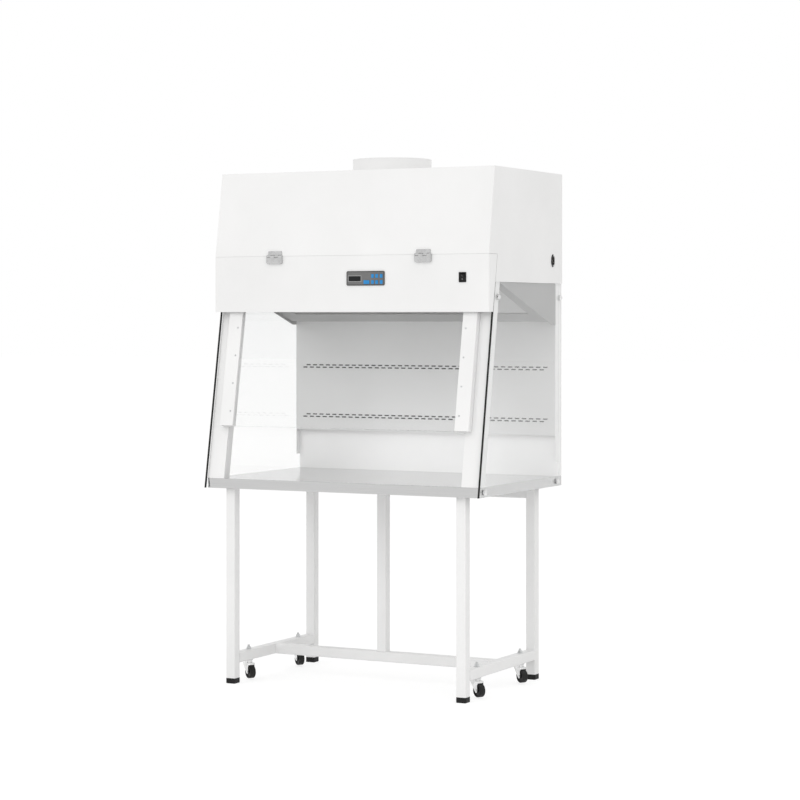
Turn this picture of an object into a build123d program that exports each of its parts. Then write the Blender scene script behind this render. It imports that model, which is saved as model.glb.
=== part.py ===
from build123d import *
import os
from math import atan2, cos, hypot, radians, sin, tan

os.makedirs("parts", exist_ok=True)

# Biosafety cabinet on a wheeled stand: a glass-sided work chamber with a
# sliding sash, and a sheet-metal hood that holds the blower and the filters.
# Millimetres, +Z up, front towards -Y, origin on the floor under the middle
# of the overall box.

# ------------------------------------------------------------ driving sizes
# Worktop
worktop_width = 1190
worktop_depth = 757
worktop_height = 812
worktop_apron = 39
worktop_sheet = 2
worktop_lip = 15

# Overall form
cabinet_top = 2020
slant = radians(10)          # lean of the front, from upright
sheet = 1.5                  # folded sheet of the hood, back and liner
rear_inset = 1               # skins stop this far ahead of the worktop's rear edge

# Stand of square tube
tube_size = 40
tube_wall = 2
tube_corner = 4
leg_side_inset = 89          # leg's centre in from the worktop's side
leg_front_inset = 45
leg_rear_inset = 76
base_frame_height = 30
rear_rail_thickness = 25
rear_rail_height = 50
rear_rail_gap = 7            # under the base frame
foot_height = 21
foot_overhang = 0.5
foot_chamfer = 2
plug_height = 15
plug_clearance = 0.2

# Castors
castor_height = 79
castor_inboard = 120         # from the centre of the nearest leg
wheel_radius = 26
wheel_width = 24
wheel_lift = 4.5             # the cabinet stands on its foot caps
wheel_recess = 3
wheel_hub_radius = 7
tread_depth = 5
tread_round = 3
trail = 16
axle_radius = 3
axle_head_radius = 5
axle_head_height = 2
axle_boss_radius = 8
fork_sheet = 2.5
fork_gap = 26
fork_plate = 3
fork_plate_length = 46
swivel_head_radius = 15
swivel_head_height = 9
swivel_gap = 0.3
flange_radius = 17
flange_height = 4
kingpin_radius = 4
rivet_radius = 7
rivet_height = 2.5
stem_radius = 5
nut_width = 17
nut_height = 8
stem_spare = 8               # thread showing above the nut
washer_radius = 10
washer_height = 2
castor_angles = (-32, -36, -30, -34)

# Posts and side glass
post_width = 75
post_depth = 40
post_wall = 2
glass_thickness = 5
glass_drop = 38              # below the worktop's surface
glass_lead = 10              # glass edge ahead of the posts
seal_depth = 6
seal_stand_out = 0.5
knob_radius = 11
knob_height = 9
knob_dome = 3
knob_taper = 6
knob_shank_radius = 4
knob_hole_radius = 4.5
knob_low_drop = 19.5         # below the worktop's surface
knob_high_drop = 57          # below the hood's lower edge
knob_front_inset = 32        # behind the worktop's front edge
knob_rear_inset = 49         # ahead of the worktop's rear edge
knob_high_front_inset = 151
knob_high_rear_inset = 22

# Back, baffle and ceiling
back_depth = 26              # the hollow back, front to rear
plenum_depth = 29            # between the baffle and the back
baffle_bottom = 974
baffle_top = 1640
cheek_bottom = 870
slot_length = 20
slot_height = 5
slot_pitch = 31
slot_end_margin = 30         # at each end of a row, at the least
slot_row_gap = 10
slot_heights = (1035, 1242)
ceiling_front_height = 1592
ceiling_front_y = 200
ceiling_shelf_depth = 39     # level strip ahead of the baffle
ceiling_rear_height = 1430
gusset_drop = 14
gusset_nose = 9
diffuser_side_margin = 65
diffuser_start = 40          # along the sloping ceiling
diffuser_rear_margin = 89.6  # short of the slope's foot
filter_margin = 20
supply_filter_height = 70
filter_frame = 18            # rim round the pleated media
filter_recess = 4
lamp_end_gap = 75            # to the worktop's side
lamp_width = 22
lamp_height = 18

# Hood
hood_bottom = 1582
hood_gap = 6.5               # between the posts and the hood's side plates
glass_gap = 1                # between the side glass and the hood
hood_flange = 20
bend_radius = 3              # outside radius of the folds
cover_bottom = 1687.5
cover_lead = 68              # cover's lower front edge behind the worktop edge
cover_top_y = 121
flap_bottom = 1468
flap_gap = 0.8               # between the flap and the cover
flap_clearance = 2.5         # between the flap's sides and the glass edge
flap_lip = 10

# Hinges of the front flap
hinge_x = 327
hinge_stand_off = 5          # hinge axis ahead of the flap's face
hinge_drop = 1               # hinge axis below the cover's lower edge
barrel_radius = 4
barrel_clearance = 0.3
hinge_pin_radius = 2
running_clearance = 0.05
knuckle_length = 17.4
knuckle_gap = 0.3
knuckle_root = 0.5           # each knuckle's web runs this far into its leaf
knuckle_web_inset = 1
upper_leaf_height = 19
upper_leaf_width = 59
leaf_thickness = 4
lower_leaf_height = 26
lower_leaf_thickness = 8
lower_leaf_round = 8

# Sash
sash_glass = 6
sash_glass_front = 17        # from the post's front plane
sash_bottom = 207            # along the slope from the worktop's surface
sash_length = 700
stile_overlap = 34           # of the stile over the pane
stile_width = 60
stile_front = 28
stile_back = 1
stile_wall = 3
stile_round = 2
pane_clearance = 0.1
screw_inset = 16             # from the stile's inner edge
screw_pitch = 111
screw_first = 58
screws_per_stile = 4
screw_head_radius = 3.5
screw_head_height = 1.3
screw_head_taper = 25
screw_shank_radius = 1.8
screw_tip_gap = 1            # shank ends this far ahead of the glass
track_start = 673
track_end = 1218
track_clearance = 0.8
track_lip = 18.3
track_base = 15.2

# Control panel, keys and display
panel_x = 78.5
panel_z = 1597.7
panel_width = 166
panel_height = 56
panel_thickness = 4
panel_round = 6
panel_edge_round = 1
housing_width = 160
housing_height = 52
housing_depth = 20
housing_wall = 2
cutout_clearance = 0.2
display_x = 31.7
display_z = 1596.5
display_width = 53
display_height = 19
display_thickness = 2
display_recess = 0.3
key_width = 11.4
key_height = 14.4
wide_key_width = 25
key_clearance = 0.3
key_stand_out = 1.5
key_flange = 1.2
key_flange_thickness = 1.5
key_round = 1.5
key_edge_round = 0.6
key_upper_z = 1606.6
key_lower_z = 1583
key_columns = (110.3, 128.3, 148.1)
wide_key_x = 83.7

# Rocker switch
switch_inset = 102           # from the worktop's side
switch_z = 1599
bezel_width = 30
bezel_height = 38
bezel_thickness = 3
bezel_round = 2
switch_body_depth = 24
rocker_width = 20
rocker_height = 26
rocker_clearance = 0.5
rocker_swing_gap = 1.5       # above and below the rocker, for its rocking
rocker_root_depth = 5        # behind the pivot
rocker_root_half = 5
rocker_waist = 1
rocker_tilt = 10
rocker_body_side = 2.5
rocker_pivot_depth = 2       # behind the flap's face
rocker_pivot_radius = 1.5
rocker_pivot_reach = 1       # into each wall of the body
rocker_pivot_end_gap = 0.5
rocker_centre_height = 5     # face above the pivot

# Power inlet
inlet_rear_inset = 97        # ahead of the worktop's rear edge
inlet_z = 1672
inlet_flange_thickness = 3.5
inlet_flange_width = 26
inlet_flange_height = 23
inlet_ear_radius = 5
inlet_ear_pitch = 40
inlet_body_width = 20
inlet_body_height = 27
inlet_body_depth = 18
inlet_socket_width = 16.5
inlet_socket_height = 24
inlet_socket_depth = 16
inlet_pin_pitch = 7
inlet_pin_width = 2
inlet_pin_height = 4

# Exhaust, blower and filters
exhaust_wall_gap = 5.26      # between the filter and the liner's front wall
collar_radius = 157.5
collar_height = 58
collar_flange_radius = 175
exhaust_filter_width = 360
exhaust_filter_height = 90
shelf_height = 1680
shelf_thickness = 2
shelf_side_gap = 35
motor_radius = 60
motor_height = 78
motor_shaft_radius = 8
motor_shaft_height = 40
impeller_radius = 150
impeller_height = 100
impeller_gap = 8             # above the motor
impeller_hub_radius = 25
impeller_eye_radius = 100
blade_count = 12
blade_thickness = 2
blade_inner_radius = 105
blade_sweep = 35
blower_housing_width = 400
blower_housing_height = 203
blower_inlet_radius = 110

# ------------------------------------------------------- worked-out values
slant_rise = tan(slant)
front_overhang = glass_lead + glass_drop * slant_rise
front = -(worktop_depth - front_overhang) / 2
rear = front + worktop_depth
skin_rear = rear - rear_inset
core_half = worktop_width / 2
liner_half = core_half - sheet
hood_half = core_half + hood_gap + sheet
switch_x = core_half - switch_inset
hood_inner = hood_half - sheet
roof_underside = cabinet_top - sheet
apron_bottom = worktop_height - worktop_apron
glass_bottom = worktop_height - glass_drop
glass_top = hood_bottom - glass_gap
leg_top = worktop_height - worktop_sheet - base_frame_height
leg_x = core_half - leg_side_inset
front_leg_y = front + leg_front_inset
rear_leg_y = rear - leg_rear_inset
cross_y = (front_leg_y + rear_leg_y) / 2
half_tube = tube_size / 2
rail_top = castor_height + tube_size
castor_ys = (front_leg_y + castor_inboard, rear_leg_y - castor_inboard)
castor_places = [(x, y) for x in (-leg_x, leg_x) for y in castor_ys]
leg_places = [(x, y) for x in (-leg_x, leg_x) for y in (front_leg_y, rear_leg_y)]


def post_y(z):
    """Y of the posts' slanting front plane at height z."""
    return front + (z - worktop_height) * slant_rise


def edge_y(z):
    """Y of the side glass's front edge at height z."""
    return post_y(z) - glass_lead


def side_plane(x):
    """Plane facing +X, with local x along +Y and local y along +Z."""
    return Plane(origin=(x, 0, 0), x_dir=(0, 1, 0), z_dir=(1, 0, 0))


def front_plane(y):
    """Plane facing -Y, with local x along +X and local y along +Z."""
    return Plane(origin=(0, y, 0), x_dir=(1, 0, 0), z_dir=(0, -1, 0))


slant_plane = Plane(
    origin=(0, front, worktop_height),
    x_dir=(1, 0, 0),
    z_dir=(0, -cos(slant), sin(slant)),
)

# ------------------------------------------------------------------- stand
with BuildPart() as legs:
    with BuildSketch(Plane.XY.offset(foot_height)):
        with Locations(*leg_places):
            RectangleRounded(tube_size, tube_size, tube_corner)
            Rectangle(tube_size - 2 * tube_wall, tube_size - 2 * tube_wall, mode=Mode.SUBTRACT)
    extrude(amount=leg_top - foot_height)
legs.part.label = "legs"
export_step(legs.part, "parts/legs.step")

with BuildPart() as foot_caps:
    cap_size = tube_size + 2 * foot_overhang
    plug_size = tube_size - 2 * tube_wall - 2 * plug_clearance
    with BuildSketch():
        with Locations(*leg_places):
            RectangleRounded(cap_size, cap_size, tube_corner)
    extrude(amount=foot_height)
    chamfer(foot_caps.faces().sort_by(Axis.Z)[:4].edges(), foot_chamfer)
    with BuildSketch(Plane.XY.offset(foot_height)):
        with Locations(*leg_places):
            Rectangle(plug_size, plug_size)
    extrude(amount=plug_height)
foot_caps.part.label = "foot_caps"
export_step(foot_caps.part, "parts/foot_caps.step")

with BuildPart() as side_rails:
    side_rail_length = rear_leg_y - front_leg_y - tube_size
    with BuildSketch(Plane.XZ.offset(-front_leg_y - half_tube)):
        with Locations((-leg_x, castor_height + half_tube), (leg_x, castor_height + half_tube)):
            RectangleRounded(tube_size, tube_size, tube_corner)
            Rectangle(tube_size - 2 * tube_wall, tube_size - 2 * tube_wall, mode=Mode.SUBTRACT)
    extrude(amount=-side_rail_length)
    with BuildSketch(Plane.XY.offset(castor_height)):
        with Locations(*castor_places):
            Circle(stem_radius + running_clearance)
    extrude(amount=tube_size, mode=Mode.SUBTRACT)
side_rails.part.label = "side_rails"
export_step(side_rails.part, "parts/side_rails.step")

with BuildPart() as cross_rail:
    cross_rail_length = 2 * leg_x - tube_size
    with BuildSketch(side_plane(-cross_rail_length / 2)):
        with Locations((cross_y, castor_height + half_tube)):
            RectangleRounded(tube_size, tube_size, tube_corner)
            Rectangle(tube_size - 2 * tube_wall, tube_size - 2 * tube_wall, mode=Mode.SUBTRACT)
    extrude(amount=cross_rail_length)
cross_rail.part.label = "cross_rail"
export_step(cross_rail.part, "parts/cross_rail.step")

with BuildPart() as centre_post:
    with BuildSketch(Plane.XY.offset(rail_top)):
        with Locations((0, cross_y)):
            RectangleRounded(tube_size, tube_size, tube_corner)
            Rectangle(tube_size - 2 * tube_wall, tube_size - 2 * tube_wall, mode=Mode.SUBTRACT)
    extrude(amount=leg_top - rail_top)
centre_post.part.label = "centre_post"
export_step(centre_post.part, "parts/centre_post.step")

with BuildPart() as rear_top_rail:
    with BuildSketch(side_plane(-cross_rail_length / 2)):
        with Locations((rear_leg_y, leg_top - rear_rail_gap - rear_rail_height / 2)):
            RectangleRounded(rear_rail_thickness, rear_rail_height, tube_corner)
            Rectangle(
                rear_rail_thickness - 2 * tube_wall,
                rear_rail_height - 2 * tube_wall,
                mode=Mode.SUBTRACT,
            )
    extrude(amount=cross_rail_length)
rear_top_rail.part.label = "rear_top_rail"
export_step(rear_top_rail.part, "parts/rear_top_rail.step")

with BuildPart() as base_frame:
    frame_z = leg_top + base_frame_height / 2
    with BuildSketch(side_plane(-leg_x - half_tube)):
        with Locations((front_leg_y, frame_z), (rear_leg_y, frame_z)):
            Rectangle(tube_size, base_frame_height)
            Rectangle(
                tube_size - 2 * tube_wall,
                base_frame_height - 2 * tube_wall,
                mode=Mode.SUBTRACT,
            )
    extrude(amount=2 * leg_x + tube_size)
    with BuildSketch(side_plane(-leg_x + half_tube)):
        with Locations((cross_y, frame_z)):
            Rectangle(tube_size, base_frame_height)
            Rectangle(
                tube_size - 2 * tube_wall,
                base_frame_height - 2 * tube_wall,
                mode=Mode.SUBTRACT,
            )
    extrude(amount=cross_rail_length)
    with BuildSketch(Plane.XZ.offset(-front_leg_y - half_tube)):
        with Locations((-leg_x, frame_z), (leg_x, frame_z)):
            Rectangle(tube_size, base_frame_height)
            Rectangle(
                tube_size - 2 * tube_wall,
                base_frame_height - 2 * tube_wall,
                mode=Mode.SUBTRACT,
            )
    extrude(amount=-side_rail_length)
base_frame.part.label = "base_frame"
export_step(base_frame.part, "parts/base_frame.step")

# ----------------------------------------------------------------- castors
flange_bottom = castor_height - flange_height
head_top = flange_bottom - swivel_gap
head_bottom = head_top - swivel_head_height
plate_bottom = head_bottom - fork_plate
rivet_top = plate_bottom - swivel_gap
stem_top = rail_top + washer_height + nut_height + stem_spare
axle_height = wheel_lift + wheel_radius

with BuildPart() as castor_stems:
    with BuildSketch(Plane.XY.offset(rivet_top - rivet_height)):
        with Locations(*castor_places):
            Circle(rivet_radius)
    extrude(amount=rivet_height)
    with BuildSketch(Plane.XY.offset(rivet_top)):
        with Locations(*castor_places):
            Circle(kingpin_radius)
    extrude(amount=flange_bottom - rivet_top)
    with BuildSketch(Plane.XY.offset(flange_bottom)):
        with Locations(*castor_places):
            Circle(flange_radius)
    extrude(amount=flange_height)
    with BuildSketch(Plane.XY.offset(castor_height)):
        with Locations(*castor_places):
            Circle(stem_radius)
    extrude(amount=stem_top - castor_height)
castor_stems.part.label = "castor_stems"
export_step(castor_stems.part, "parts/castor_stems.step")

with BuildPart() as castor_nuts:
    with BuildSketch(Plane.XY.offset(rail_top)):
        with Locations(*castor_places):
            Circle(washer_radius)
    extrude(amount=washer_height)
    with BuildSketch(Plane.XY.offset(rail_top + washer_height)):
        with Locations(*castor_places):
            RegularPolygon(nut_width / 2, 6, major_radius=False)
    extrude(amount=nut_height)
    with BuildSketch(Plane.XY.offset(rail_top)):
        with Locations(*castor_places):
            Circle(stem_radius + running_clearance)
    extrude(amount=washer_height + nut_height, mode=Mode.SUBTRACT)
castor_nuts.part.label = "castor_nuts"
export_step(castor_nuts.part, "parts/castor_nuts.step")


def swivel_plane(place, angle):
    """Upright plane through a kingpin, with local x along the castor's trail."""
    run = radians(angle)
    return Plane(
        origin=(place[0], place[1], 0),
        x_dir=(cos(run), sin(run), 0),
        z_dir=(sin(run), -cos(run), 0),
    )


for number, (place, angle) in enumerate(zip(castor_places, castor_angles), start=1):
    swivel = swivel_plane(place, angle)
    axle_end = fork_gap / 2 + fork_sheet + axle_head_height
    with BuildPart() as castor_fork:
        for side in (-1, 1):
            with BuildSketch(swivel.offset(side * (fork_gap + fork_sheet) / 2)):
                with Locations((trail, axle_height)):
                    Circle(axle_boss_radius)
                with Locations((0, plate_bottom + fork_plate / 2)):
                    Rectangle(fork_plate_length, fork_plate)
                make_hull()
            extrude(amount=fork_sheet / 2, both=True)
        with BuildSketch(swivel):
            with Locations((0, plate_bottom + fork_plate / 2)):
                Rectangle(fork_plate_length, fork_plate)
        extrude(amount=fork_gap / 2, both=True)
        with BuildSketch(swivel):
            with Locations((trail, axle_height)):
                Circle(axle_radius)
        extrude(amount=axle_end, both=True)
        for side in (-1, 1):
            with BuildSketch(swivel.offset(side * (axle_end - axle_head_height / 2))):
                with Locations((trail, axle_height)):
                    Circle(axle_head_radius)
            extrude(amount=axle_head_height / 2, both=True)
        with BuildSketch(Plane(origin=(place[0], place[1], head_bottom))):
            Circle(swivel_head_radius)
        extrude(amount=swivel_head_height)
        with BuildSketch(Plane(origin=(place[0], place[1], plate_bottom))):
            Circle(kingpin_radius + running_clearance)
        extrude(amount=swivel_head_height + fork_plate, mode=Mode.SUBTRACT)
    castor_fork.part.label = f"castor_fork_{number}"
    export_step(castor_fork.part, f"parts/castor_fork_{number}.step")

    with BuildPart() as castor_wheel:
        with BuildSketch(swivel):
            with Locations((trail, axle_height)):
                Circle(wheel_radius)
        extrude(amount=wheel_width / 2, both=True)
        fillet(castor_wheel.edges().filter_by(GeomType.CIRCLE), tread_round)
        for side in (-1, 1):
            with BuildSketch(swivel.offset(side * (wheel_width / 2 - wheel_recess / 2))):
                with Locations((trail, axle_height)):
                    Circle(wheel_radius - tread_depth)
                    Circle(wheel_hub_radius, mode=Mode.SUBTRACT)
            extrude(amount=wheel_recess / 2, both=True, mode=Mode.SUBTRACT)
        with BuildSketch(swivel):
            with Locations((trail, axle_height)):
                Circle(axle_radius + running_clearance)
        extrude(amount=wheel_width / 2, both=True, mode=Mode.SUBTRACT)
    castor_wheel.part.label = f"castor_wheel_{number}"
    export_step(castor_wheel.part, f"parts/castor_wheel_{number}.step")

# ----------------------------------------------------------------- worktop
with BuildPart() as worktop:
    with BuildSketch(Plane.XY.offset(apron_bottom)):
        with Locations((0, (front + rear) / 2)):
            RectangleRounded(worktop_width, worktop_depth, worktop_sheet)
    extrude(amount=worktop_apron)
    with BuildSketch(Plane.XY.offset(apron_bottom + worktop_sheet)):
        with Locations((0, (front + rear) / 2)):
            Rectangle(worktop_width - 2 * worktop_sheet, worktop_depth - 2 * worktop_sheet)
    extrude(amount=worktop_apron - 2 * worktop_sheet, mode=Mode.SUBTRACT)
    with BuildSketch(Plane.XY.offset(apron_bottom)):
        with Locations((0, (front + rear) / 2)):
            Rectangle(worktop_width - 2 * worktop_lip, worktop_depth - 2 * worktop_lip)
    extrude(amount=worktop_sheet, mode=Mode.SUBTRACT)
    fillet(worktop.faces().sort_by(Axis.Z)[-1].outer_wire().edges(), worktop_sheet / 2)
worktop.part.label = "worktop"
export_step(worktop.part, "parts/worktop.step")

# -------------------------------------------------- posts, glass and knobs
post_length = (roof_underside - worktop_height) / cos(slant)
up_slope = (0, sin(slant), cos(slant))
for side, sign in (("left", -1), ("right", 1)):
    with BuildPart() as front_post:
        with BuildSketch(Plane.XY.offset(worktop_height)):
            with Locations((sign * (core_half - post_width / 2), front + post_depth / 2)):
                Rectangle(post_width, post_depth)
                Rectangle(post_width - 2 * post_wall, post_depth - 2 * post_wall, mode=Mode.SUBTRACT)
        extrude(amount=post_length, dir=up_slope)
    front_post.part.label = f"front_post_{side}"
    export_step(front_post.part, f"parts/front_post_{side}.step")

knob_low_z = worktop_height - knob_low_drop
knob_high_z = hood_bottom - knob_high_drop
knob_places = [
    (front + knob_front_inset, knob_low_z),
    (rear - knob_rear_inset, knob_low_z),
    (rear - knob_high_rear_inset, knob_high_z),
    (front + knob_high_front_inset, knob_high_z),
]
for side, sign in (("left", -1), ("right", 1)):
    with BuildPart() as side_glass:
        with BuildSketch(side_plane(sign * (core_half + glass_thickness / 2))):
            Polygon(
                (edge_y(glass_bottom) + seal_depth, glass_bottom),
                (skin_rear, glass_bottom),
                (skin_rear, glass_top),
                (edge_y(glass_top) + seal_depth, glass_top),
                align=None,
            )
            with Locations(*knob_places):
                Circle(knob_hole_radius, mode=Mode.SUBTRACT)
        extrude(amount=glass_thickness / 2, both=True)
    side_glass.part.label = f"side_glass_{side}"
    export_step(side_glass.part, f"parts/side_glass_{side}.step")

with BuildPart() as glass_edge_seals:
    seal_width = glass_thickness + seal_stand_out
    for sign in (-1, 1):
        with BuildSketch(side_plane(sign * (core_half + seal_width / 2))):
            Polygon(
                (edge_y(glass_bottom), glass_bottom),
                (edge_y(glass_bottom) + seal_depth, glass_bottom),
                (edge_y(glass_top) + seal_depth, glass_top),
                (edge_y(glass_top), glass_top),
                align=None,
            )
        extrude(amount=seal_width / 2, both=True)
glass_edge_seals.part.label = "glass_edge_seals"
export_step(glass_edge_seals.part, "parts/glass_edge_seals.step")

with BuildPart() as glass_knobs:
    glass_face = core_half + glass_thickness
    for sign in (-1, 1):
        with BuildSketch(side_plane(sign * (core_half + glass_thickness / 2))):
            with Locations(*knob_places):
                Circle(knob_shank_radius)
        extrude(amount=glass_thickness / 2, both=True)
        with BuildSketch(side_plane(sign * glass_face)):
            with Locations(*knob_places):
                Circle(knob_radius)
        extrude(amount=sign * knob_height, taper=knob_taper)
    knob_faces = glass_knobs.faces().filter_by(Axis.X).sort_by(lambda face: -abs(face.center().X))
    fillet(knob_faces[: 2 * len(knob_places)].edges(), knob_dome)
glass_knobs.part.label = "glass_knobs"
export_step(glass_knobs.part, "parts/glass_knobs.step")

# -------------------------------------------------------- back and ceiling
back_y = skin_rear - back_depth
with BuildPart() as back_panel:
    with BuildSketch(Plane.XY.offset(worktop_height)):
        with Locations((0, (back_y + skin_rear) / 2)):
            Rectangle(worktop_width, skin_rear - back_y)
    extrude(amount=roof_underside - worktop_height)
    with BuildSketch(Plane.XY.offset(worktop_height + sheet)):
        with Locations((0, (back_y + sheet + skin_rear) / 2)):
            Rectangle(worktop_width - 2 * sheet, skin_rear - back_y - sheet)
    extrude(amount=roof_underside - worktop_height - 2 * sheet, mode=Mode.SUBTRACT)
back_panel.part.label = "back_panel"
export_step(back_panel.part, "parts/back_panel.step")

baffle_front = back_y - plenum_depth
slots_per_row = int((worktop_width - 2 * slot_end_margin) / slot_pitch)
with BuildPart() as rear_baffle:
    with BuildSketch(front_plane(baffle_front + sheet)):
        with Locations((0, (baffle_bottom + baffle_top) / 2)):
            Rectangle(2 * liner_half, baffle_top - baffle_bottom)
        for height in slot_heights:
            with Locations((-slot_pitch / 4, height - slot_row_gap / 2)):
                with GridLocations(slot_pitch, 1, slots_per_row, 1):
                    Rectangle(slot_length, slot_height, mode=Mode.SUBTRACT)
            with Locations((slot_pitch / 4, height + slot_row_gap / 2)):
                with GridLocations(slot_pitch, 1, slots_per_row, 1):
                    Rectangle(slot_length, slot_height, mode=Mode.SUBTRACT)
    extrude(amount=sheet)
rear_baffle.part.label = "rear_baffle"
export_step(rear_baffle.part, "parts/rear_baffle.step")

with BuildPart() as baffle_cheeks:
    for sign in (-1, 1):
        with BuildSketch(side_plane(sign * (core_half - sheet / 2))):
            Polygon(
                (baffle_front, cheek_bottom),
                (back_y, cheek_bottom),
                (back_y, hood_bottom),
                (baffle_front, hood_bottom),
                align=None,
            )
        extrude(amount=sheet / 2, both=True)
baffle_cheeks.part.label = "baffle_cheeks"
export_step(baffle_cheeks.part, "parts/baffle_cheeks.step")

# The liner's folds, seen from the side: front wall, flange, slope and shelf
slope_start = (front + ceiling_front_y, ceiling_front_height)
slope_end = (baffle_front - ceiling_shelf_depth, ceiling_rear_height)
ceiling_slope = atan2(slope_start[1] - slope_end[1], slope_end[0] - slope_start[0])
wall_foot = (post_y(ceiling_front_height) + post_depth, ceiling_front_height)
wall_head = (post_y(roof_underside) + post_depth, roof_underside)
slope_plane = Plane(
    origin=(0, *slope_start),
    x_dir=(1, 0, 0),
    z_dir=(0, sin(ceiling_slope), cos(ceiling_slope)),
)
slope_length = hypot(slope_end[0] - slope_start[0], slope_start[1] - slope_end[1])
diffuser_width = worktop_width - 2 * diffuser_side_margin
diffuser_length = slope_length - diffuser_start - diffuser_rear_margin
diffuser_middle = diffuser_start + diffuser_length / 2

with BuildPart() as ceiling_panel:
    with BuildSketch(side_plane(0)):
        with BuildLine():
            Polyline(wall_head, wall_foot, slope_start, slope_end, (baffle_front, ceiling_rear_height))
            offset(amount=sheet, side=Side.LEFT, kind=Kind.INTERSECTION)
        make_face()
    extrude(amount=liner_half, both=True)
    for sign in (-1, 1):
        with BuildSketch(side_plane(sign * (core_half - sheet / 2))):
            Polygon(
                (wall_foot[0], hood_bottom),
                (wall_foot[0], ceiling_front_height - gusset_drop),
                (slope_end[0] + gusset_nose, ceiling_rear_height - gusset_drop),
                (baffle_front, ceiling_rear_height - gusset_drop),
                (baffle_front, hood_bottom),
                align=None,
            )
        extrude(amount=sheet / 2, both=True)
    with BuildSketch(slope_plane):
        with Locations((0, diffuser_middle)):
            Rectangle(diffuser_width, diffuser_length)
    extrude(amount=2 * sheet, both=True, mode=Mode.SUBTRACT)
ceiling_panel.part.label = "ceiling_panel"
export_step(ceiling_panel.part, "parts/ceiling_panel.step")

with BuildPart() as supply_filter:
    with BuildSketch(slope_plane.offset(sheet)):
        with Locations((0, diffuser_middle)):
            Rectangle(diffuser_width + 2 * filter_margin, diffuser_length + 2 * filter_margin)
    extrude(amount=supply_filter_height)
    for level in (0, supply_filter_height - filter_recess):
        with BuildSketch(slope_plane.offset(sheet + level)):
            with Locations((0, diffuser_middle)):
                Rectangle(
                    diffuser_width + 2 * filter_margin - 2 * filter_frame,
                    diffuser_length + 2 * filter_margin - 2 * filter_frame,
                )
        extrude(amount=filter_recess, mode=Mode.SUBTRACT)
supply_filter.part.label = "supply_filter"
export_step(supply_filter.part, "parts/supply_filter.step")

lamp_length = worktop_width - 2 * lamp_end_gap
with BuildPart() as led_lamp:
    with BuildSketch(side_plane(-lamp_length / 2)):
        with Locations((slope_start[0] - lamp_width / 2, ceiling_front_height - lamp_height / 2)):
            RectangleRounded(lamp_width, lamp_height, lamp_height / 4)
    extrude(amount=lamp_length)
led_lamp.part.label = "led_lamp"
export_step(led_lamp.part, "parts/led_lamp.step")

# -------------------------------------------------------------------- hood
inlet_places = [(rear - inlet_rear_inset, inlet_z)]
for side, sign in (("left", -1), ("right", 1)):
    with BuildPart() as hood_side:
        with BuildSketch(side_plane(sign * (hood_half - sheet / 2))):
            Polygon(
                (edge_y(hood_bottom), hood_bottom),
                (skin_rear, hood_bottom),
                (skin_rear, roof_underside),
                (edge_y(roof_underside), roof_underside),
                align=None,
            )
        extrude(amount=sheet / 2, both=True)
        with BuildSketch(side_plane(sign * core_half)):
            Polygon(
                (edge_y(hood_bottom), hood_bottom),
                (skin_rear, hood_bottom),
                (skin_rear, hood_bottom + sheet),
                (edge_y(hood_bottom), hood_bottom + sheet),
                align=None,
            )
            Polygon(
                (skin_rear - sheet, hood_bottom),
                (skin_rear, hood_bottom),
                (skin_rear, roof_underside),
                (skin_rear - sheet, roof_underside),
                align=None,
            )
        extrude(amount=sign * (hood_gap + sheet))
        if side == "right":
            with BuildSketch(side_plane(hood_inner)):
                with Locations(*inlet_places):
                    Rectangle(
                        inlet_body_width + 2 * cutout_clearance,
                        inlet_body_height + 2 * cutout_clearance,
                    )
            extrude(amount=sheet, mode=Mode.SUBTRACT)
    hood_side.part.label = f"hood_side_{side}"
    export_step(hood_side.part, f"parts/hood_side_{side}.step")

cover_front = front + cover_lead
roof_front = front + cover_top_y
exhaust_centre = (0, wall_head[0] + exhaust_wall_gap + exhaust_filter_width / 2)
with BuildPart() as hood_top:
    with BuildSketch(Plane.XY.offset(roof_underside)):
        with Locations((0, (roof_front + skin_rear) / 2)):
            Rectangle(2 * hood_half, skin_rear - roof_front)
        with Locations(exhaust_centre):
            Circle(collar_radius - sheet, mode=Mode.SUBTRACT)
    extrude(amount=sheet)
hood_top.part.label = "hood_top"
export_step(hood_top.part, "parts/hood_top.step")

cover_outline = [
    (cover_front, cover_bottom),
    (edge_y(cover_bottom), cover_bottom),
    (edge_y(roof_underside), roof_underside),
    (roof_front, roof_underside),
]
with BuildPart() as front_cover:
    with BuildSketch(side_plane(0)):
        Polygon(*cover_outline, align=None)
    extrude(amount=hood_half, both=True)
    fillet(front_cover.faces().sort_by(Axis.Y)[0].edges().filter_by(Axis.X, reverse=True), bend_radius)
    open_faces = front_cover.faces().sort_by(Axis.Z)[-1:] + front_cover.faces().sort_by(Axis.Y)[-1:]
    offset(amount=-sheet, openings=open_faces)
    with BuildSketch(Plane.XY.offset(cover_bottom)):
        with Locations((0, cover_front + hood_flange + worktop_depth / 2)):
            Rectangle(2 * hood_inner, worktop_depth)
    extrude(amount=sheet, mode=Mode.SUBTRACT)
front_cover.part.label = "front_cover"
export_step(front_cover.part, "parts/front_cover.step")

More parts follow.
